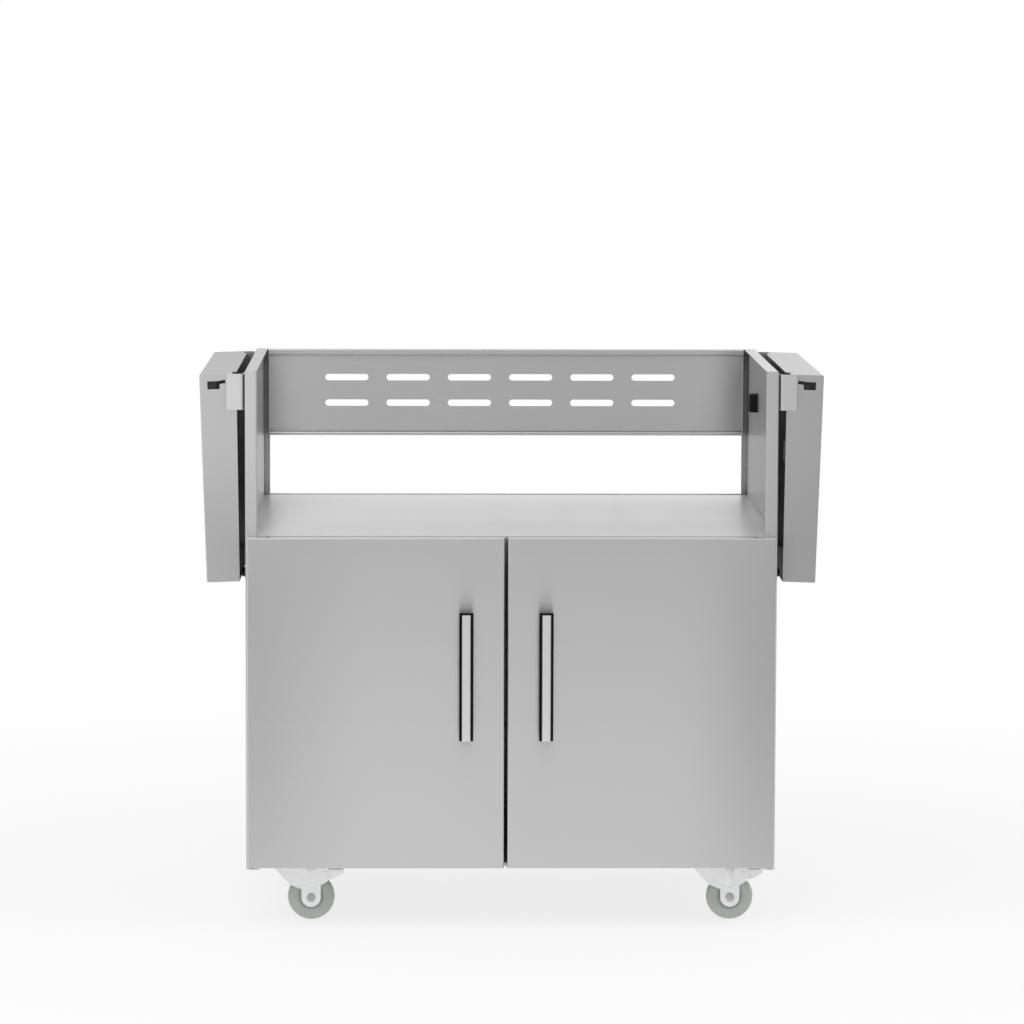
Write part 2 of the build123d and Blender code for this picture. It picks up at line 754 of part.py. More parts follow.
def shelf_brackets(side):
    """Folded plates: one leg on the side panel, then a step out to the plate with the pin."""
    plate = bracket_setoff + bracket_sheet
    step = bracket_step + bracket_sheet
    outline = [
        (bracket_setoff, 0),
        (bracket_reach, 0),
        (bracket_reach, bracket_sheet),
        (plate, bracket_sheet),
        (plate, step),
        (bracket_sheet, step),
        (bracket_sheet, bracket_leg),
        (0, bracket_leg),
        (0, bracket_step),
        (bracket_setoff, bracket_step),
    ]
    with BuildPart() as brackets:
        for end in (-1, 1):
            face = mid_y + end * cart_depth / 2
            wall = side * half_width
            with BuildSketch(Plane.XY.offset(bracket_bottom)):
                with BuildLine():
                    Polyline([(wall + side * out, face - end * deep) for out, deep in outline], close=True)
                corner = make_face()
                fillet(corner.vertices().sort_by_distance((wall, face))[0], radius=bracket_bend)
            extrude(amount=bracket_height)
            outer = pin_ends(end)[0]
            back = face - end * bracket_sheet
            rod((side * shelf_pivot_x, (outer + back) / 2, shelf_pivot_z), pin_radius + pin_bearing,
                abs(outer - back) + pin_bearing, along_y, Mode.SUBTRACT)
            for spot in bracket_bolt_spots(side, end):
                rod(spot, bolt_radius + bolt_air, 4 * bracket_sheet, along_x, Mode.SUBTRACT)
    return brackets.part


for word, side in sides.items():
    save(shelf_pan(side), f"shelf_pan_{word}")
    save(shelf_stiffener(side), f"shelf_stiffener_{word}")
    save(shelf_pins(side), f"shelf_pins_{word}")
    save(shelf_brackets(side), f"shelf_brackets_{word}")

# Bolts through the side panels into the brackets, heads inside
with BuildPart() as bracket_bolts:
    for side in (-1, 1):
        for end in (-1, 1):
            for x, y, z in bracket_bolt_spots(side, end):
                with BuildSketch(Plane((side * (skin_inner - bolt_head), y, z), z_dir=(side, 0, 0))):
                    RegularPolygon(bolt_head_radius, 6)
                extrude(amount=bolt_head)
                shank = sheet + bracket_sheet
                rod((side * (skin_inner + shank / 2), y, z), bolt_radius, shank, along_x)
save(bracket_bolts.part, "bracket_bolts")

# Rubber bumpers that the hanging shelves rest on
far_low_x = shelf_pivot_x - shelf_far_edge * math.sin(tilt) + shelf_far_low * math.cos(tilt)
far_low_z = shelf_pivot_z - shelf_far_edge * math.cos(tilt) - shelf_far_low * math.sin(tilt)
bumper_length = far_low_x - half_width - fit
with BuildPart() as shelf_bumpers:
    for side in (-1, 1):
        for end in (-1, 1):
            y = mid_y + end * (cart_depth / 2 - bumper_inset)
            rod((side * (half_width + bumper_length / 2), y, far_low_z + bumper_radius), bumper_radius,
                bumper_length, along_x)
save(shelf_bumpers.part, "shelf_bumpers")

# Caster plates with upper race and king pin, and the rings they turn on
with BuildPart() as caster_plates:
    for spot in caster_spots.values():
        with BuildSketch(Plane.XY.offset(plate_bottom)):
            with Locations(spot):
                RectangleRounded(plate_length, plate_width, caster_bolt_head_radius)
            with Locations(*caster_bolt_spots(spot)):
                Circle(caster_bolt_radius + bolt_air, mode=Mode.SUBTRACT)
        extrude(amount=plate_thickness)
        rod((*spot, plate_bottom - race_thickness / 2), race_radius, race_thickness)
        pin_bottom = king_head_top - king_head
        rod((*spot, (plate_bottom + pin_bottom) / 2), king_pin_radius, plate_bottom - pin_bottom)
        rod((*spot, king_head_top - king_head / 2), king_head_radius, king_head)
save(caster_plates.part, "caster_plates")

with BuildPart() as swivel_bearings:
    for spot in caster_spots.values():
        with BuildSketch(Plane.XY.offset(bearing_bottom)):
            with Locations(spot):
                Circle(bearing_outer)
                Circle(bearing_inner, mode=Mode.SUBTRACT)
        extrude(amount=bearing_height)
save(swivel_bearings.part, "swivel_bearings")

# Backing plates inside the cabinet, with the bolts and nuts that clamp the casters
with BuildPart() as backing_plates:
    for spot in caster_spots.values():
        with BuildSketch(Plane.XY.offset(base_top)):
            with Locations(spot):
                RectangleRounded(plate_length, plate_width, caster_bolt_head_radius)
            with Locations(*caster_bolt_spots(spot)):
                Circle(caster_bolt_radius + bolt_air, mode=Mode.SUBTRACT)
        extrude(amount=backing_thickness)
save(backing_plates.part, "backing_plates")

nut_seat = base_top + backing_thickness
with BuildPart() as caster_bolts:
    for spot in caster_spots.values():
        for x, y in caster_bolt_spots(spot):
            with BuildSketch(Plane.XY.offset(plate_bottom - caster_bolt_head)):
                with Locations((x, y)):
                    RegularPolygon(caster_bolt_head_radius, 6)
            extrude(amount=caster_bolt_head)
            shank_top = nut_seat + caster_nut + sheet
            rod((x, y, (plate_bottom + shank_top) / 2), caster_bolt_radius, shank_top - plate_bottom)
save(caster_bolts.part, "caster_bolts")

with BuildPart() as caster_nuts:
    for spot in caster_spots.values():
        for x, y in caster_bolt_spots(spot):
            with BuildSketch(Plane.XY.offset(nut_seat)):
                with Locations((x, y)):
                    RegularPolygon(caster_bolt_head_radius, 6)
                    Circle(caster_bolt_radius + bolt_air / 2, mode=Mode.SUBTRACT)
            extrude(amount=caster_nut)
save(caster_nuts.part, "caster_nuts")


# Caster forks, axles, wheels and brake pedals

def fork_plane(spot, y):
    """Sketch plane across the wheel: x from the swivel axis, y is the height."""
    return Plane(origin=(spot[0], spot[1] + y, 0), x_dir=(1, 0, 0), z_dir=(0, -1, 0))


def caster_fork(spot):
    with BuildPart() as fork:
        with BuildSketch(Plane.XY.offset(crown_bottom)):
            with Locations(spot):
                Circle(crown_radius)
                Rectangle(2 * fork_shoulder, 2 * fork_outside)
                Circle(king_pin_radius + running, mode=Mode.SUBTRACT)
        extrude(amount=crown_thickness)
        for y in (-fork_inside, fork_outside):
            with BuildSketch(fork_plane(spot, y)):
                with BuildLine():
                    Polyline(
                        (-fork_shoulder, crown_top),
                        (fork_shoulder, crown_top),
                        (fork_shoulder, crown_top - trailing_drop),
                        (trail + leg_radius, leg_end),
                        (trail + leg_radius, axle_z),
                        (trail - leg_radius, axle_z),
                        (trail - leg_radius, leg_start),
                        (-belly_x, belly_z),
                        (-fork_shoulder, crown_top - shoulder_drop),
                        close=True,
                    )
                make_face()
                with Locations((trail, axle_z)):
                    Circle(leg_radius)
                    Circle(axle_radius + bolt_air, mode=Mode.SUBTRACT)
                with Locations((pedal_pin_x, pedal_pin_z)):
                    Circle(pedal_pin_radius + running, mode=Mode.SUBTRACT)
            extrude(amount=fork_sheet)
    return fork.part


def caster_axle(spot):
    """Hex bolt through the fork, the sleeve the hub turns on, and the nut."""
    x = spot[0] + trail
    y = spot[1]
    shank_end = fork_outside + axle_nut + sheet
    with BuildPart() as axle:
        with BuildSketch(fork_plane((x, y), -fork_outside)):
            with Locations((0, axle_z)):
                RegularPolygon(axle_head_radius, 6)
        extrude(amount=axle_head)
        rod((x, y + (shank_end - fork_outside) / 2, axle_z), axle_radius, shank_end + fork_outside, along_y)
        with BuildSketch(fork_plane((x, y), fork_outside)):
            with Locations((0, axle_z)):
                RegularPolygon(axle_head_radius, 6)
                Circle(axle_radius + bolt_air, mode=Mode.SUBTRACT)
        extrude(amount=-axle_nut)
        with BuildSketch(fork_plane((x, y), 0)):
            with Locations((0, axle_z)):
                Circle(axle_radius + bolt_air + sleeve_wall)
                Circle(axle_radius + bolt_air, mode=Mode.SUBTRACT)
        extrude(amount=fork_inside - bolt_air, both=True)
    return axle.part


def wheel_hub(spot):
    centre = (spot[0] + trail, spot[1], axle_z)
    bore = axle_radius + bolt_air + sleeve_wall + running
    half = wheel_width / 2 + hub_extra
    with BuildPart() as hub:
        with BuildSketch(Plane(centre, x_dir=(1, 0, 0), z_dir=(0, 0, 1))):
            patch((bore, hub_radius), (-half, half))
            for sign in (-1, 1):
                patch((bore + 4 * sheet, hub_radius - sheet), (sign * (half - sheet), sign * half),
                      mode=Mode.SUBTRACT)
        revolve(axis=Axis(centre, (0, 1, 0)))
    return hub.part


def wheel_tyre(spot):
    centre = (spot[0] + trail, spot[1], axle_z)
    half = wheel_width / 2
    with BuildPart() as tyre:
        with BuildSketch(Plane(centre, x_dir=(1, 0, 0), z_dir=(0, 0, 1))) as section:
            patch((hub_radius, wheel_radius), (-half, half))
            fillet(section.vertices().sort_by(Axis.X)[-2:], radius=tyre_round)
        revolve(axis=Axis(centre, (0, 1, 0)))
    return tyre.part


def brake_pedal(spot):
    """Pedal with its cross pin: a narrow root inside the fork and a wide foot piece."""
    narrow = fork_inside - sheet
    slope = (pedal_tip_z - pedal_root_z) / (pedal_tip_x - pedal_root_x)
    tread_low = pedal_root_z + slope * (pedal_tread_x - pedal_root_x)
    with BuildPart() as pedal:
        with BuildSketch(fork_plane(spot, 0)):
            with Locations((pedal_pin_x, pedal_pin_z)):
                Circle(pedal_boss)
            with BuildLine():
                Polyline(
                    (pedal_pin_x, pedal_pin_z - pedal_boss),
                    (pedal_root_x, pedal_root_z),
                    (pedal_tread_x, tread_low),
                    (pedal_tread_x, pedal_top_z),
                    (pedal_pin_x, pedal_top_z),
                    close=True,
                )
            make_face()
        extrude(amount=narrow, both=True)
        with BuildSketch(fork_plane(spot, 0)):
            with BuildLine():
                Polyline(
                    (pedal_tread_x, tread_low),
                    (pedal_tip_x, pedal_tip_z),
                    (pedal_tip_x, pedal_top_z - sheet),
                    (pedal_tip_x - sheet, pedal_top_z),
                    (pedal_tread_x, pedal_top_z),
                    close=True,
                )
            make_face()
        extrude(amount=pedal_tread_width / 2, both=True)
        rod((spot[0] + pedal_pin_x, spot[1], pedal_pin_z), pedal_pin_radius, 2 * (fork_outside + sheet),
            along_y)
    return pedal.part


for word, spot in caster_spots.items():
    save(caster_fork(spot), f"caster_fork_{word}")
    save(caster_axle(spot), f"caster_axle_{word}")
    save(wheel_hub(spot), f"wheel_hub_{word}")
    save(wheel_tyre(spot), f"wheel_tyre_{word}")

for word in braked:
    save(brake_pedal(caster_spots[word]), f"brake_pedal_{word}")
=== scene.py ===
# %% [markdown]
# # A stainless grill cart
#
# This lesson dresses a grill cart that was drawn as solid parts: two tall side panels, an open bay for the
# grill, a cabinet with two doors, a hanging shelf on each side and four casters. The solids already have
# their true sizes, so nothing here is moved or scaled. The work is light, finish and the small fittings.

# %% Load the cart
import math

import bmesh
import bpy
from mathutils import Matrix, Quaternion, Vector


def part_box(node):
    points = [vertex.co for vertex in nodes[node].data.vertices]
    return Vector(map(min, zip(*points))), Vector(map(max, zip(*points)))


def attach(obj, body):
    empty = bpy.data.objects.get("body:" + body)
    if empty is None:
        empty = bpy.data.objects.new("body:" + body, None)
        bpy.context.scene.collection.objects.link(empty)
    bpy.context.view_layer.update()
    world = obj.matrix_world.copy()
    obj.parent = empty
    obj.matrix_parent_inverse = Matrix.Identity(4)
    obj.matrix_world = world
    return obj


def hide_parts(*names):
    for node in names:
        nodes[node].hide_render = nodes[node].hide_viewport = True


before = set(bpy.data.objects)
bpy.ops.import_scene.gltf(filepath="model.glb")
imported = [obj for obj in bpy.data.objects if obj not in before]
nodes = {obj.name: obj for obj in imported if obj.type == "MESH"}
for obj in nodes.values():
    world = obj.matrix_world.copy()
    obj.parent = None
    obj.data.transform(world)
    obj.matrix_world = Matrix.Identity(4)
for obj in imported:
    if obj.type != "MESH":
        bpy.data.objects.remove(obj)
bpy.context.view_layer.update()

# %% [markdown]
# ## The camera
#
# A product photographer stands well back with a long lens, so the cart's sides stay nearly parallel. The
# camera is a little to the left of the middle and about one and a half metres up, which shows the deck and
# the tops of the shelves. A shifted lens would keep the uprights exactly parallel, but it would push the cart
# out of every other view, so the camera is tilted down by six degrees instead.

# %% Camera
post_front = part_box("side_panel_left")[0].y
eye = Vector((-0.1448, post_front - 7.534, 1.470))
aim = Vector((0.0005, post_front, 0.6903))
lens_mm = 162.76
roll = 0.003

camera_data = bpy.data.cameras.new("Camera")
camera_data.lens = lens_mm
camera_data.sensor_width = 36
camera_data.clip_end = 100
camera = bpy.data.objects.new("Camera", camera_data)
camera.location = eye
camera.rotation_mode = "QUATERNION"
camera.rotation_quaternion = (aim - eye).to_track_quat("-Z", "Y") @ Quaternion((0, 0, 1), roll)
bpy.context.scene.collection.objects.link(camera)
bpy.context.scene.camera = camera
bpy.context.scene.view_settings.view_transform = "Standard"
tilt = math.degrees(math.asin((aim - eye).normalized().z))
print("camera", [round(v, 3) for v in eye], "tilt", round(tilt, 2))

# %% [markdown]
# ## Helpers for node materials
#
# A material here is a small network: texture coordinates feed noise, the noise feeds roughness, colour and
# bump. These helpers only save typing. `add` makes a node and sets its values, `wire` joins two sockets.

# %% Node helpers
def add(tree, kind, **values):
    node = tree.nodes.new(kind)
    for key, value in values.items():
        if key in node.inputs:
            node.inputs[key].default_value = value
        else:
            setattr(node, key, value)
    return node


def wire(tree, out_socket, in_socket):
    tree.links.new(out_socket, in_socket)


def fresh_material(name):
    """An empty node material with a Principled shader wired to the output."""
    material = bpy.data.materials.new(name)
    material.use_nodes = True
    tree = material.node_tree
    tree.nodes.clear()
    shader = tree.nodes.new("ShaderNodeBsdfPrincipled")
    output = tree.nodes.new("ShaderNodeOutputMaterial")
    wire(tree, shader.outputs["BSDF"], output.inputs["Surface"])
    return material, tree, shader


def stretched_noise(tree, scale, detail=3.0, rough=0.6):
    """Noise in the piece's own coordinates, stretched by a scale along X, Y and Z."""
    place = add(tree, "ShaderNodeTexCoord")
    mapping = add(tree, "ShaderNodeMapping")
    mapping.inputs["Scale"].default_value = scale
    noise = add(tree, "ShaderNodeTexNoise", Scale=1.0, Detail=detail, Roughness=rough)
    wire(tree, place.outputs["Object"], mapping.inputs["Vector"])
    wire(tree, mapping.outputs["Vector"], noise.inputs["Vector"])
    return noise.outputs["Fac"]


def spread(tree, value, low, high):
    """Maps noise, which lies mostly between 0.3 and 0.7, to the range from low to high."""
    ramp = add(tree, "ShaderNodeMapRange")
    ramp.inputs["From Min"].default_value = 0.3
    ramp.inputs["From Max"].default_value = 0.7
    ramp.inputs["To Min"].default_value = low
    ramp.inputs["To Max"].default_value = high
    wire(tree, value, ramp.inputs["Value"])
    return ramp.outputs["Result"]


def blend_colours(tree, factor, first, second):
    mix = add(tree, "ShaderNodeMix", data_type="RGBA")
    mix.inputs["A"].default_value = (*first, 1)
    mix.inputs["B"].default_value = (*second, 1)
    wire(tree, factor, mix.inputs["Factor"])
    return mix.outputs["Result"]


def grey(level):
    return (level, level, level)


print("node helpers ready")

# %% [markdown]
# ## The studio
#
# Polished sheet has no colour of its own to speak of: it shows the room. So the room is designed first. A
# white world stands for the paper roll around the set, and two large soft lamps give the cart its form. They
# are wide, because a small lamp would leave a burnt white patch on the steel. The floor is pale, and part of
# its white is its own glow, which keeps the shadow under the cart light.

# %% World
world = bpy.data.worlds.new("Studio")
bpy.context.scene.world = world
world.use_nodes = True
sky = world.node_tree
sky.nodes.clear()
paper = add(sky, "ShaderNodeBackground", Color=(1, 1, 1, 1), Strength=1.0)
room = add(sky, "ShaderNodeBackground", Color=(1, 1, 1, 1), Strength=0.7)
ray = add(sky, "ShaderNodeLightPath")
seen = add(sky, "ShaderNodeMath", operation="MAXIMUM")
seen_too = add(sky, "ShaderNodeMath", operation="MAXIMUM")
wire(sky, ray.outputs["Is Camera Ray"], seen.inputs[0])
wire(sky, ray.outputs["Is Glossy Ray"], seen.inputs[1])
wire(sky, seen.outputs[0], seen_too.inputs[0])
wire(sky, ray.outputs["Is Transmission Ray"], seen_too.inputs[1])
pick = add(sky, "ShaderNodeMixShader")
wire(sky, seen_too.outputs[0], pick.inputs["Fac"])
wire(sky, room.outputs[0], pick.inputs[1])
wire(sky, paper.outputs[0], pick.inputs[2])
wire(sky, pick.outputs[0], add(sky, "ShaderNodeOutputWorld").inputs["Surface"])
print("world: white paper all round")


# %% Lamps
cart_middle = Vector((0, 0, 0.5))


def softbox(name, place, size, watts):
    """A large square lamp aimed at the middle of the cart."""
    data = bpy.data.lights.new(name, "AREA")
    data.size = size
    data.energy = watts
    lamp = bpy.data.objects.new(name, data)
    lamp.location = place
    lamp.rotation_mode = "QUATERNION"
    lamp.rotation_quaternion = (cart_middle - Vector(place)).to_track_quat("-Z", "Y")
    bpy.context.scene.collection.objects.link(lamp)
    return lamp


key = softbox("Key", (-2.6, -3.2, 4.2), 5.2, 95)
fill = softbox("Fill", (3.2, -2.0, 3.4), 4.4, 45)
print("lamps:", key.data.energy, fill.data.energy, "W")

# %% Floor
floor_radius = 14
under_the_wheels = -0.0004
floor_mesh = bpy.data.meshes.new("Floor")
form = bmesh.new()
bmesh.ops.create_circle(form, cap_ends=True, segments=96, radius=floor_radius)
form.to_mesh(floor_mesh)
form.free()
floor = bpy.data.objects.new("Floor", floor_mesh)
floor.location.z = under_the_wheels
bpy.context.scene.collection.objects.link(floor)

floor_material, tree, shader = fresh_material("Pale_floor")
shader.inputs["Base Color"].default_value = (*grey(0.93), 1)
shader.inputs["Roughness"].default_value = 0.9
shader.inputs["Specular IOR Level"].default_value = 0.0
glow = add(tree, "ShaderNodeEmission", Color=(1, 1, 1, 1), Strength=1.0)
near = add(tree, "ShaderNodeVectorMath", operation="LENGTH")
place = add(tree, "ShaderNodeTexCoord")
wire(tree, place.outputs["Object"], near.inputs[0])
share = add(tree, "ShaderNodeMapRange")
share.inputs["From Min"].default_value = 0.9
share.inputs["From Max"].default_value = 2.6
share.inputs["To Min"].default_value = 0.72
share.inputs["To Max"].default_value = 1.0
wire(tree, near.outputs["Value"], share.inputs["Value"])
both = add(tree, "ShaderNodeMixShader")
wire(tree, share.outputs["Result"], both.inputs["Fac"])
wire(tree, shader.outputs["BSDF"], both.inputs[1])
wire(tree, glow.outputs[0], both.inputs[2])
wire(tree, both.outputs[0], tree.nodes["Material Output"].inputs["Surface"])
floor_mesh.materials.append(floor_material)
print("floor laid")

# %% [markdown]
# ## Boards for the steel to mirror
#
# Doors of brushed sheet are dull mirrors, so their shading is the shading of what stands opposite. A product
# photographer hangs grey boards there. One board stands half a metre in front of the doors. It is pale at its
# left end and in the middle, and darker between the two, at the right and toward the top. Above it hangs one
# for the vent panel and the side panels. A third one stands behind the cart, where the deck and the tops of
# the shelves look. All of them are seen by reflections alone, so they hide nothing.

# %% Boards
def level_ramp(tree, value, low, high, levels):
    """A grey for each place between low and high; levels are pairs of place and grey level."""
    reach = add(tree, "ShaderNodeMapRange")
    reach.inputs["From Min"].default_value = low
    reach.inputs["From Max"].default_value = high
    wire(tree, value, reach.inputs["Value"])
    ramp = add(tree, "ShaderNodeValToRGB")
    ramp.color_ramp.interpolation = "EASE"
    stops = ramp.color_ramp.elements
    while len(stops) < len(levels):
        stops.new(0.5)
    for stop, (place, level) in zip(stops, levels):
        stop.position = (place - low) / (high - low)
        stop.color = (*grey(level), 1)
    wire(tree, reach.outputs["Result"], ramp.inputs["Fac"])
    return ramp.outputs["Color"]


def board(name, y, reach, low, high, across, upward):
    """A glowing board that only reflections see, shaded across its width and up its height."""
    corners = [(-reach, y, low), (reach, y, low), (reach, y, high), (-reach, y, high)]
    mesh = bpy.data.meshes.new(name)
    mesh.from_pydata(corners, [], [(0, 1, 2, 3)])
    piece = bpy.data.objects.new(name, mesh)
    bpy.context.scene.collection.objects.link(piece)
    piece.visible_camera = False
    piece.visible_diffuse = False
    piece.visible_shadow = False
    piece.visible_transmission = False

    material, tree, shader = fresh_material(name)
    tree.nodes.remove(shader)
    place = add(tree, "ShaderNodeTexCoord")
    split = add(tree, "ShaderNodeSeparateXYZ")
    wire(tree, place.outputs["Object"], split.inputs[0])
    sideways = level_ramp(tree, split.outputs["X"], -reach, reach, across)
    up = level_ramp(tree, split.outputs["Z"], low, high, upward)
    both = add(tree, "ShaderNodeMix", data_type="RGBA", blend_type="MULTIPLY")
    both.inputs["Factor"].default_value = 1.0
    wire(tree, sideways, both.inputs["A"])
    wire(tree, up, both.inputs["B"])
    glow = add(tree, "ShaderNodeEmission", Strength=1.0)
    wire(tree, both.outputs["Result"], glow.inputs["Color"])
    wire(tree, glow.outputs[0], tree.nodes["Material Output"].inputs["Surface"])
    mesh.materials.append(material)
    return piece


door_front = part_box("door_skin_left")[0].y
board_y = door_front - 0.5
front_board = board(
    "Front_board", board_y, reach=2.4, low=0.0, high=0.66,
    across=((-2.4, 1.0), (-0.95, 1.0), (-0.62, 0.82), (-0.45, 0.65), (-0.34, 0.82), (-0.25, 0.92),
            (-0.15, 0.92), (0.0, 0.89), (0.32, 0.89), (0.37, 0.79), (0.44, 0.63), (0.75, 0.50), (2.4, 0.42)),
    upward=((0.0, 1.0), (0.2, 1.0), (0.4, 0.88), (0.66, 0.72)),
)
upper_board = board(
    "Upper_board", board_y, reach=2.4, low=0.66, high=1.3,
    across=((-2.4, 1.0), (-0.62, 1.0), (-0.47, 0.92), (-0.40, 0.80), (-0.33, 0.66), (0.34, 0.64),
            (0.40, 0.80), (0.46, 0.80), (0.54, 0.54), (0.75, 0.40), (2.4, 0.36)),
    upward=((0.66, 1.0), (1.3, 0.9)),
)
rear_board = board(
    "Rear_board", y=2.7, reach=4.0, low=0.0, high=2.6,
    across=((-4.0, 0.64), (-0.55, 0.66), (-0.38, 0.86), (-0.1, 0.93), (0.2, 0.97), (0.5, 1.0), (4.0, 1.0)),
    upward=((0.0, 1.0), (2.6, 1.0)),
)
print("boards:", front_board.name, upper_board.name, rear_board.name)

# %% [markdown]
# ## Brushed stainless steel
#
# Sheet for kitchens is rubbed with a belt in one direction. The scratches are finer than a hair, so they are
# not drawn one by one: the Anisotropic setting draws every reflection out across the scratches, and streaky
# noise gives a trace of change in the roughness, the tone and the bump. Blender's Tangent is the direction in
# which reflections are drawn out, so it lies across the grain. It is given in the piece's own coordinates and
# turns with the piece, so an opened door keeps its grain. Where two sheets nearly meet, they mirror each other
# and go dark. That shade is painted: an Ambient Occlusion node darkens the base colour in such narrow gaps.

# %% Steel
def brushed_steel(name, smear, fine_scale, level, roughness, grain=0.9):
    """Smear is the direction across the scratches; fine_scale is the noise scale along X, Y and Z."""
    material, tree, shader = fresh_material(name)
    shader.inputs["Metallic"].default_value = 1.0
    shader.inputs["Anisotropic"].default_value = grain
    direction = add(tree, "ShaderNodeVectorTransform", vector_type="VECTOR")
    direction.convert_from = "OBJECT"
    direction.convert_to = "WORLD"
    direction.inputs[0].default_value = smear
    wire(tree, direction.outputs[0], shader.inputs["Tangent"])

    streaks = stretched_noise(tree, fine_scale, detail=2.0)
    bands = stretched_noise(tree, [s * 0.12 for s in fine_scale], detail=2.0)
    smudges = stretched_noise(tree, (4, 4, 4), detail=3.0)
    tone = blend_colours(tree, spread(tree, bands, 0, 1), grey(level * 0.994), grey(level * 1.006))
    # Painted shade: ambient occlusion darkens the base colour in narrow gaps between sheets.
    gap_shade_ao = add(tree, "ShaderNodeAmbientOcclusion", Distance=0.04, samples=6)
    painted_gap_shade = add(tree, "ShaderNodeMapRange")
    painted_gap_shade.inputs["From Min"].default_value = 0.16
    painted_gap_shade.inputs["From Max"].default_value = 0.42
    painted_gap_shade.inputs["To Min"].default_value = 0.02
    wire(tree, gap_shade_ao.outputs["AO"], painted_gap_shade.inputs["Value"])
    shaded = add(tree, "ShaderNodeMix", data_type="RGBA", blend_type="MULTIPLY")
    shaded.inputs["Factor"].default_value = 1.0
    wire(tree, tone, shaded.inputs["A"])
    wire(tree, painted_gap_shade.outputs["Result"], shaded.inputs["B"])
    wire(tree, shaded.outputs["Result"], shader.inputs["Base Color"])
    rub = spread(tree, streaks, roughness - 0.01, roughness + 0.01)
    hands = spread(tree, smudges, -0.01, 0.01)
    total = add(tree, "ShaderNodeMath", operation="ADD")
    wire(tree, rub, total.inputs[0])
    wire(tree, hands, total.inputs[1])
    wire(tree, total.outputs[0], shader.inputs["Roughness"])
    bump = add(tree, "ShaderNodeBump", Strength=0.015, Distance=0.0002)
    wire(tree, streaks, bump.inputs["Height"])
    wire(tree, bump.outputs["Normal"], shader.inputs["Normal"])
    return material


across_grain = (0.02, 0.3, 1.0), (1.5, 1.5, 900)
lying_grain = (0.02, 1.0, 0.3), (1.5, 900, 900)
upright_grain = (1.0, 0.8, 0.02), (900, 900, 1.5)
bar_grain = (1.0, 0.8, 0.02), (1200, 1200, 2.0)

# The levels differ from part to part: painted light and shade that stand for how brightly each part shows.
sheet_across = brushed_steel("Steel_across", *across_grain, level=0.60, roughness=0.32)
sheet_vent = brushed_steel("Steel_vent", *across_grain, level=0.56, roughness=0.26)
sheet_lying = brushed_steel("Steel_lying", *lying_grain, level=0.67, roughness=0.34)
sheet_upright = brushed_steel("Steel_upright", *upright_grain, level=0.67, roughness=0.44, grain=0.8)
sheet_shelf = brushed_steel("Steel_shelf", *upright_grain, level=0.58, roughness=0.42, grain=0.8)
bracket_steel = brushed_steel("Steel_bracket", *upright_grain, level=0.74, roughness=0.44, grain=0.8)
bar_upright = brushed_steel("Steel_bar", *bar_grain, level=0.70, roughness=0.28, grain=0.8)
# Painted shade: the inner walls get the same steel at about half the level.
sheet_inside_painted_shade = brushed_steel("Steel_inside_painted_shade", *upright_grain, level=0.37, roughness=0.30)
print("finishes:", [material.name for material in bpy.data.materials if material.name.startswith("Steel")])

# %% [markdown]
# ## Which way the grain runs
#
# A sheet is cut so that its grain runs along the part: across the doors, the vent panel and the back, from
# side to side on the deck, and upright on the side panels, the shelves and the handle bars. One finish could
# serve them all with a turned texture, but a finish for each direction is easier to read and to change. The
# finishes also differ in level: lighter and darker copies of one steel, painted to stand for how brightly each
# part shows.

# %% Give the sheet parts their steel
sides = ("left", "right")
steel_parts = {
    "deck": sheet_lying,
    "base_pan": sheet_lying,
    "front_header": sheet_across,
    "back_panel": sheet_across,
    "vent_panel": sheet_vent,
}
for word in sides:
    steel_parts[f"side_panel_{word}"] = sheet_upright
    steel_parts[f"side_liner_{word}"] = sheet_inside_painted_shade
    steel_parts[f"shelf_brackets_{word}"] = bracket_steel
    steel_parts[f"shelf_pan_{word}"] = sheet_shelf
    steel_parts[f"shelf_stiffener_{word}"] = sheet_shelf
    steel_parts[f"door_skin_{word}"] = sheet_across
    steel_parts[f"door_liner_{word}"] = sheet_across
    steel_parts[f"handle_bar_{word}"] = bar_upright


def dress(node, material):
    mesh = nodes[node].data
    mesh.materials.clear()
    mesh.materials.append(material)


for node, material in steel_parts.items():
    dress(node, material)
print("dressed in steel:", len(steel_parts))


# %% [markdown]
# ## Plating, plastic and rubber
#
# The brackets' pins, the caster parts and the fasteners are zinc plated, which is bright and a little uneven.
# Bolts are given a darker grey than the rest of the plating. The box, the catches and the handle channels are
# black
# moulded plastic, and the wheels are grey rubber. Each of them is two close colours mixed by fine noise, with
# the same noise in the roughness. Painted textures would also do, but noise needs no images and has no seams.

# %% Other finishes
def plain_finish(name, colour, second, roughness, metallic=0.0, shine=0.5, speckle=60.0, bump=0.1):
    """A moulded, plated or rubber finish: two close colours mixed by fine noise, with a trace of bump."""
    material, tree, shader = fresh_material(name)
    shader.inputs["Metallic"].default_value = metallic
    shader.inputs["Specular IOR Level"].default_value = shine
    fine = stretched_noise(tree, (speckle, speckle, speckle), detail=4.0)
    wire(tree, blend_colours(tree, spread(tree, fine, 0, 1), colour, second), shader.inputs["Base Color"])
    wire(tree, spread(tree, fine, roughness - 0.05, roughness + 0.05), shader.inputs["Roughness"])
    height = stretched_noise(tree, (speckle * 20, speckle * 20, speckle * 20), detail=2.0)
    relief = add(tree, "ShaderNodeBump", Strength=bump, Distance=0.0002)
    wire(tree, height, relief.inputs["Height"])
    wire(tree, relief.outputs["Normal"], shader.inputs["Normal"])
    return material


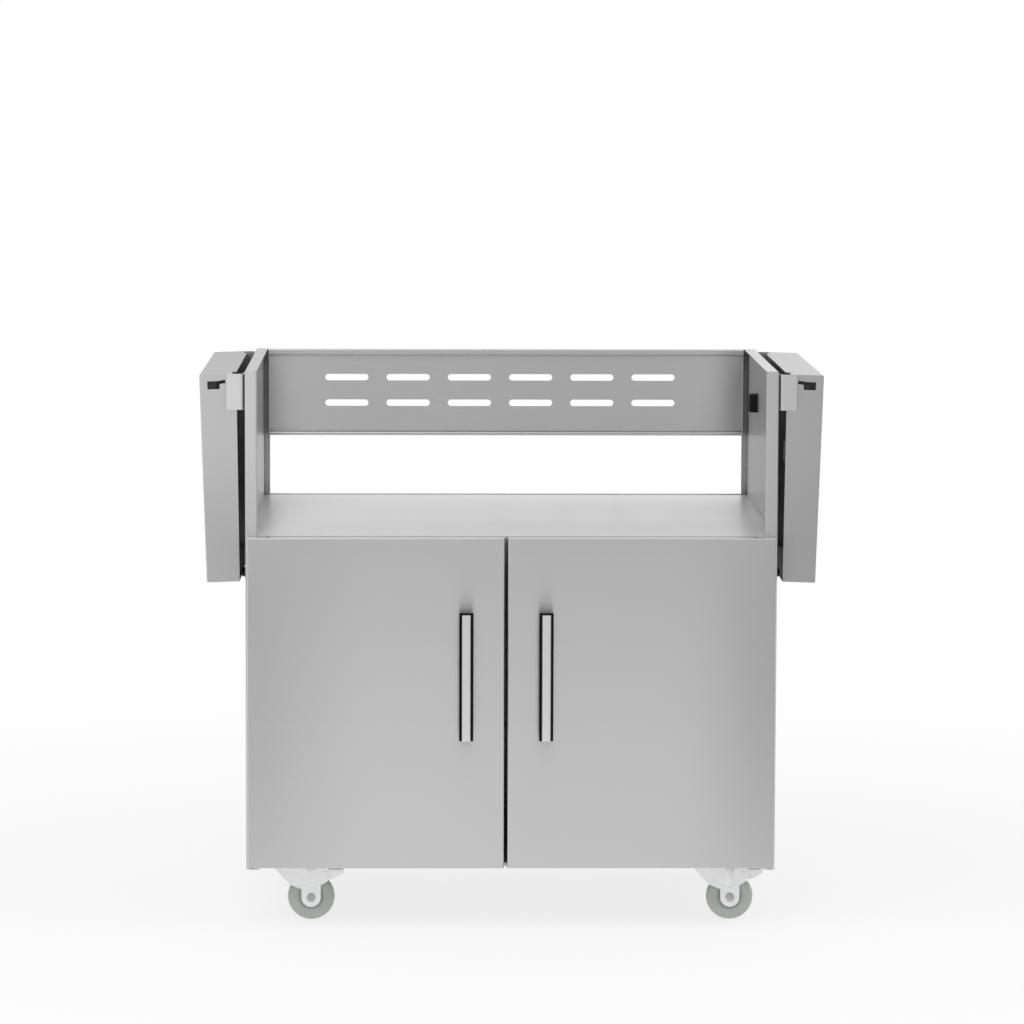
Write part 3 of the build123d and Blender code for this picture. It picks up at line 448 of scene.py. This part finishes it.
zinc = plain_finish("Zinc_plate", grey(0.80), (0.74, 0.75, 0.76), 0.32, metallic=1.0, speckle=90)
bolt_steel = plain_finish("Bolt_steel", grey(0.46), (0.41, 0.415, 0.42), 0.36, metallic=1.0, speckle=90)
black_plastic = plain_finish("Black_plastic", grey(0.006), grey(0.010), 0.5, shine=0.12)
handle_black = plain_finish("Handle_black", grey(0.003), grey(0.005), 0.5, shine=0.08)
rubber = plain_finish("Bumper_rubber", grey(0.02), grey(0.03), 0.75)
nylon = plain_finish("Bush_nylon", grey(0.75), grey(0.70), 0.45)
tyre_grey = plain_finish("Wheel_grey", (0.41, 0.44, 0.405), (0.375, 0.405, 0.37), 0.5)
hub_grey = plain_finish("Hub_grey", (0.40, 0.42, 0.40), (0.36, 0.38, 0.36), 0.45)

corners = ("front_left", "front_right", "rear_left", "rear_right")
front_corners = corners[:2]
other_parts = {
    "junction_box": black_plastic,
    "magnet_catches": black_plastic,
    "shelf_bumpers": rubber,
}
for node in ("panel_screws", "bracket_bolts", "door_pivots", "caster_plates", "swivel_bearings",
             "backing_plates", "caster_bolts", "caster_nuts"):
    other_parts[node] = zinc
for word in sides:
    other_parts[f"pivot_bushes_{word}"] = nylon
    other_parts[f"strike_plate_{word}"] = zinc
    other_parts[f"handle_channel_{word}"] = handle_black
    other_parts[f"handle_mounts_{word}"] = zinc
    other_parts[f"shelf_pins_{word}"] = zinc
for corner in corners:
    other_parts[f"caster_fork_{corner}"] = zinc
    other_parts[f"caster_axle_{corner}"] = zinc
    other_parts[f"wheel_hub_{corner}"] = hub_grey
    other_parts[f"wheel_tyre_{corner}"] = tyre_grey
for corner in front_corners:
    other_parts[f"brake_pedal_{corner}"] = zinc
for node, material in other_parts.items():
    dress(node, material)
bare = set(nodes) - set(steel_parts) - set(other_parts)
print("dressed in other finishes:", len(other_parts), "left bare:", sorted(bare))

# %% [markdown]
# ## Small fittings
#
# The solids carry plain pegs where the cart has screws, bolts and nuts, because sizes matter there and shapes
# do not. Each peg is found in its part, and a finished fastener is built in its place. A fastener is turned
# work, so it is drawn as a stack of rings along its own axis and skinned, which also takes six-sided heads.

# %% Find the separate solids of a part
def solids(node):
    """The lowest and highest corner of each separate solid in a part."""
    form = bmesh.new()
    form.from_mesh(nodes[node].data)
    bmesh.ops.remove_doubles(form, verts=form.verts, dist=1e-6)
    left = set(form.verts)
    boxes = []
    while left:
        edge_of_group = [left.pop()]
        low = edge_of_group[0].co.copy()
        high = low.copy()
        while edge_of_group:
            vert = edge_of_group.pop()
            low = Vector(map(min, low, vert.co))
            high = Vector(map(max, high, vert.co))
            for other in [edge.other_vert(vert) for edge in vert.link_edges]:
                if other in left:
                    left.remove(other)
                    edge_of_group.append(other)
        boxes.append((low, high))
    form.free()
    return boxes


print("screws found:", len(solids("panel_screws")), "caster bolts:", len(solids("caster_bolts")))


# %% Rings and skins
def circle(radius, height, count=24):
    turns = [2 * math.pi * i / count for i in range(count)]
    return [(radius * math.cos(t), radius * math.sin(t), height) for t in turns]


def hexagon(flat, height, chamfer=0.0, count=24):
    """A ring on a hexagon with half its width across flats. A chamfer lowers the corners."""
    ring = []
    for i in range(count):
        turn = 2 * math.pi * i / count
        reach = flat / math.cos(turn % (math.pi / 3) - math.pi / 6)
        ring.append((reach * math.cos(turn), reach * math.sin(turn), height - chamfer * (reach - flat)))
    return ring


def soft_rectangle(width, length, corner, height, count=32):
    """A ring on a rectangle with round corners."""
    ring = []
    for i in range(count):
        turn = 2 * math.pi * (i + 0.5) / count
        x = math.copysign(width / 2 - corner, math.cos(turn))
        y = math.copysign(length / 2 - corner, math.sin(turn))
        ring.append((x + corner * math.cos(turn), y + corner * math.sin(turn), height))
    return ring


def skin(form, rings, place, closed=False):
    """Joins a stack of rings. Its ends are capped, or joined to each other where it is closed."""
    layers = [[form.verts.new(place @ Vector(point)) for point in ring] for ring in rings]
    pairs = list(zip(layers, layers[1:]))
    if closed:
        pairs.append((layers[-1], layers[0]))
    for low, high in pairs:
        for i in range(len(low)):
            form.faces.new((low[i - 1], low[i], high[i], high[i - 1]))
    if not closed:
        form.faces.new(layers[0])
        form.faces.new(layers[-1])
    return layers


def pointing(direction, spot):
    """Turns a fitting that is drawn along Z to a direction and puts it at a spot."""
    return Matrix.Translation(spot) @ Vector(direction).to_track_quat("Z", "Y").to_matrix().to_4x4()


def fitting(name, form, material, body, slot, *stands_for):
    """Makes the finished piece and says what it rides on and which plain solids it stands for."""
    bmesh.ops.recalc_face_normals(form, faces=form.faces)
    mesh = bpy.data.meshes.new(name)
    form.to_mesh(mesh)
    form.free()
    mesh.shade_smooth()
    mesh.set_sharp_from_angle(angle=math.radians(32))
    mesh.materials.append(material)
    piece = bpy.data.objects.new(name, mesh)
    bpy.context.scene.collection.objects.link(piece)
    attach(piece, body)
    if stands_for:
        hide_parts(*stands_for)
    print(name, len(mesh.polygons), "faces")


print("rings, skins and fittings ready")


# %% [markdown]
# ## Panel screws
#
# Small pan-head screws hold the back, the vent panel and the deck. The head is a low dome with a cross cut
# into it. The cross is drawn as an outline inside the dome's flat top, filled up to the rim and sunk.

# %% Panel screws
def cross_screw(form, place, head, rise, stem, length):
    dome = ((1.0, 0.0), (1.0, 0.3), (0.94, 0.62), (0.8, 0.87), (0.58, 1.0))
    rings = [circle(stem * 0.6, -length), circle(stem, stem * 0.5 - length), circle(stem, 0)]
    rings += [circle(head * out, rise * up) for out, up in dome]
    rim = skin(form, rings, place)[-1]
    form.faces.remove(form.faces.get(rim))
    arm, half = head * 0.46, head * 0.11
    taper, cut_floor = 0.8, rise * 0.35
    quarter = [(arm, -half), (arm, half), (half, half)]
    outline = []
    for turn in range(4):
        outline += [Matrix.Rotation(turn * math.pi / 2, 2) @ Vector(point) for point in quarter]
    top = [form.verts.new(place @ Vector((*point, rise))) for point in outline]
    bottom = [form.verts.new(place @ Vector((*(point * taper), cut_floor))) for point in outline]
    edges = [form.edges.new((top[i - 1], top[i])) for i in range(len(top))]
    edges += [form.edges.get((rim[i - 1], rim[i])) for i in range(len(rim))]
    bmesh.ops.triangle_fill(form, use_beauty=True, edges=edges)
    for i in range(len(top)):
        form.faces.new((top[i - 1], top[i], bottom[i], bottom[i - 1]))
    form.faces.new(bottom)


head_radius, head_rise, shank_radius, shank_length = 0.004, 0.002, 0.002, 0.006
form = bmesh.new()
for low, high in solids("panel_screws"):
    middle, size = (low + high) / 2, high - low
    if size.y > size.x:
        spot, direction = Vector((middle.x, high.y - head_rise, middle.z)), (0, 1, 0)
    else:
        inward = -1 if middle.x > 0 else 1
        head_end = low.x if inward < 0 else high.x
        spot, direction = Vector((head_end - inward * head_rise, middle.y, middle.z)), (inward, 0, 0)
    cross_screw(form, pointing(direction, spot), head_radius, head_rise, shank_radius, shank_length)
fitting("Screws", form, bolt_steel, "cart", "zinc_steel", "panel_screws")

# %% [markdown]
# ## Caster bolts, nuts and axles
#
# A machined hexagon is cut back by a cone at its corners, which leaves the curved edges that everyone knows
# from a bolt head. Lowering each ring point by its distance from the flat draws that same curve.

# %% Caster bolts and nuts
cone = math.tan(math.radians(30))
round_face = 0.93


def shank(radius, length):
    """The straight part of a bolt, with a blunt end."""
    return [circle(radius * 0.75, -length), circle(radius, 0.001 - length), circle(radius, 0)]


def hex_head(flat, rise):
    return [hexagon(flat, 0), hexagon(flat, rise * 0.98, cone), circle(flat * round_face, rise)]


def hex_nut(form, place, flat, rise, bore):
    rings = [circle(bore, 0), circle(flat * round_face, 0), hexagon(flat, rise * 0.02, -cone)]
    rings += [hexagon(flat, rise * 0.98, cone), circle(flat * round_face, rise), circle(bore * 1.15, rise)]
    skin(form, rings + [circle(bore, rise * 0.93)], place, closed=True)


bolt_radius, bolt_head, nut_bore = 0.004, 0.0045, 0.00405
bolt_form, nut_form = bmesh.new(), bmesh.new()
for low, high in solids("caster_bolts"):
    middle, flat = (low + high) / 2, (high.y - low.y) / 2
    seat = Vector((middle.x, middle.y, low.z + bolt_head))
    rings = shank(bolt_radius, high.z - seat.z) + hex_head(flat, bolt_head)
    skin(bolt_form, rings, pointing((0, 0, -1), seat))
for low, high in solids("caster_nuts"):
    middle, flat = (low + high) / 2, (high.y - low.y) / 2
    seat = Vector((middle.x, middle.y, low.z))
    hex_nut(nut_form, pointing((0, 0, 1), seat), flat, high.z - low.z, nut_bore)
fitting("Caster_bolts", bolt_form, bolt_steel, "cart", "zinc_steel", "caster_bolts")
fitting("Caster_nuts", nut_form, bolt_steel, "cart", "zinc_steel", "caster_nuts")

# %% Axles
axle_radius, axle_head, axle_bore, sleeve_radius = 0.004, 0.005, 0.0041, 0.0054
longer_than_sleeve, longer_than_nut = 0.04, 0.02
for corner in corners:
    form = bmesh.new()
    for low, high in solids(f"caster_axle_{corner}"):
        middle, size = (low + high) / 2, high - low
        if size.y > longer_than_sleeve:
            seat = Vector((middle.x, low.y + axle_head, middle.z))
            rings = shank(axle_radius, high.y - seat.y) + hex_head(size.z / 2, axle_head)
            skin(form, rings, pointing((0, -1, 0), seat))
        elif size.y > longer_than_nut:
            tube = ((axle_bore, low.y), (sleeve_radius, low.y), (sleeve_radius, high.y), (axle_bore, high.y))
            place = Matrix.Translation((middle.x, 0, middle.z)) @ Matrix.Rotation(-math.pi / 2, 4, "X")
            skin(form, [circle(radius, y) for radius, y in tube], place, closed=True)
        else:
            seat = Vector((middle.x, low.y, middle.z))
            hex_nut(form, pointing((0, 1, 0), seat), size.z / 2, size.y, axle_bore)
    fitting(f"Axle_{corner}", form, bolt_steel, f"caster_{corner}", "zinc_steel", f"caster_axle_{corner}")

# %% [markdown]
# ## Wheels
#
# The wheels are moulded in grey rubber with a full round tread. The plain solid has flat sides, so a turned
# skin takes its place: the sides bulge a little, which darkens them toward the rim, and a fine moulding seam
# runs round the middle of the tread.

# %% Tyres
half_section = (
    (0.0200, 0.0118), (0.0206, 0.0126), (0.0225, 0.0129), (0.0255, 0.0130),
    (0.0285, 0.0127), (0.0315, 0.0119), (0.0340, 0.0106), (0.0362, 0.0087),
    (0.0377, 0.0064), (0.0386, 0.0038), (0.0388, 0.0012), (0.0390, 0.0004),
)
section = list(half_section) + [(radius, -side) for radius, side in reversed(half_section)]
steps_round = 72
for corner in corners:
    low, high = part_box(f"wheel_tyre_{corner}")
    rings = [circle(radius, side, steps_round) for radius, side in section]
    form = bmesh.new()
    skin(form, rings, pointing((0, 1, 0), (low + high) / 2), closed=True)
    fitting(f"Tyre_{corner}", form, tyre_grey, f"wheel_{corner}", "wheel_grey", f"wheel_tyre_{corner}")

# %% [markdown]
# ## Fork beads and pedal grips
#
# The legs of a pressed fork carry a raised band that stiffens them, and a brake pedal has cross ribs so that
# a shoe does not slip. Both are thin forms on the plain solids, so they are added and nothing is replaced.

# %% Fork beads
bead = ((0.0165, 0.034, 0.006, -0.0002), (0.0150, 0.0325, 0.0055, 0.0005), (0.0125, 0.030, 0.005, 0.0008))
leg_face, bead_height = 0.0175, 0.072
for corner in corners:
    low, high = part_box(f"wheel_tyre_{corner}")
    middle = (low + high) / 2
    form = bmesh.new()
    for side in (-1, 1):
        spot = Vector((middle.x, middle.y + side * leg_face, bead_height))
        place = Matrix.Translation(spot) @ Matrix.Rotation(-side * math.pi / 2, 4, "X")
        skin(form, [soft_rectangle(*ring) for ring in bead], place)
    fitting(f"Fork_beads_{corner}", form, zinc, f"caster_{corner}", "zinc_steel")

# %% Pedal grips
rib = ((0.0020, 0.034, 0.0009, 0.0), (0.0019, 0.0338, 0.0009, 0.0006), (0.0012, 0.033, 0.0005, 0.0010))
first_rib, rib_pitch, rib_root = 0.004, 0.0042, 0.0001
for corner in front_corners:
    low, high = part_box(f"brake_pedal_{corner}")
    form = bmesh.new()
    for step in range(4):
        spot = Vector((high.x - first_rib - rib_pitch * step, (low.y + high.y) / 2, high.z - rib_root))
        skin(form, [soft_rectangle(*ring) for ring in rib], Matrix.Translation(spot))
    fitting(f"Pedal_grips_{corner}", form, zinc, f"pedal_{corner}", "zinc_steel")

# %% [markdown]
# ## Bumpers, catches and the small box
#
# A hanging shelf rests on rubber buttons with a domed face. Each door is held by a magnet catch: a black
# housing with two steel pole strips that meet the door's plate. The small black box on the right inside wall
# has a lid with a seam all round and a screw in each corner.

# %% Bumpers
dome = ((0.92, 0.0), (1.0, 0.08), (1.0, 0.5), (0.95, 0.72), (0.8, 0.9), (0.5, 1.0))
form = bmesh.new()
for low, high in solids("shelf_bumpers"):
    middle, size = (low + high) / 2, high - low
    outward = 1 if middle.x > 0 else -1
    root = Vector((low.x if outward > 0 else high.x, middle.y, middle.z))
    rings = [circle(size.y / 2 * out, size.x * up) for out, up in dome]
    skin(form, rings, pointing((outward, 0, 0), root))
fitting("Bumpers", form, rubber, "cart", "bumper_rubber", "shelf_bumpers")

# %% Magnet catches
pole_depth, pole_stands_out, pole_share = 0.004, 0.001, 0.86
pole_thick, pole_bevel, pole_round = 0.0016, 0.0006, 0.0004
edge_cut, housing_round = 0.0012, 0.002
housing, poles = bmesh.new(), bmesh.new()
for low, high in solids("magnet_catches"):
    middle, size = (low + high) / 2, high - low
    place = pointing((0, -1, 0), Vector((middle.x, high.y, middle.z)))
    front = size.y - pole_stands_out
    shape = ((0.0, 0.0), (0.0, front - edge_cut), (edge_cut, front))
    rings = []
    for inset, depth in shape:
        rings.append(soft_rectangle(size.x - 2 * inset, size.z - 2 * inset, housing_round, depth))
    skin(housing, rings, place)
    pole_width = size.x * pole_share
    for step in (-1, 1):
        spot = Vector((middle.x, low.y + pole_depth, middle.z + step * size.z / 4))
        strip = [soft_rectangle(pole_width, pole_thick, pole_round, depth) for depth in (0, pole_depth * 0.9)]
        strip.append(soft_rectangle(pole_width - pole_bevel, pole_thick - pole_bevel, pole_round, pole_depth))
        skin(poles, strip, pointing((0, -1, 0), spot))
fitting("Catch_housings", housing, black_plastic, "cart", "black_plastic", "magnet_catches")
fitting("Catch_poles", poles, zinc, "cart", "zinc_steel")

# %% Small box
low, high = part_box("junction_box")
middle, size = (low + high) / 2, high - low
place = pointing((-1, 0, 0), Vector((high.x, middle.y, middle.z)))
seam = (
    (0.0, 0.0), (0.0, 0.0082), (0.0007, 0.0086), (0.0007, 0.0094),
    (0.0, 0.0098), (0.0, 0.0124), (0.0006, 0.0135), (0.0018, 0.014),
)
corner_radius = 0.003
across = (place.to_3x3() @ Vector((1, 0, 0))).y
wide, tall = (size.y, size.z) if abs(across) > 0.5 else (size.z, size.y)
form = bmesh.new()
rings = [soft_rectangle(wide - 2 * inset, tall - 2 * inset, corner_radius, depth) for inset, depth in seam]
skin(form, rings, place)
fitting("Small_box", form, black_plastic, "cart", "black_plastic", "junction_box")
lid_inset, lid_rise = 0.0045, 0.0004
lid_head, lid_stem, lid_length = 0.0014, 0.0007, 0.002
reach_y, reach_z = size.y / 2 - lid_inset, size.z / 2 - lid_inset
form = bmesh.new()
for i in (-1, 1):
    for j in (-1, 1):
        spot = Vector((low.x + lid_rise, middle.y + i * reach_y, middle.z + j * reach_z))
        cross_screw(form, pointing((-1, 0, 0), spot), lid_head, lid_rise, lid_stem, lid_length)
fitting("Box_screws", form, black_plastic, "cart", "black_plastic")
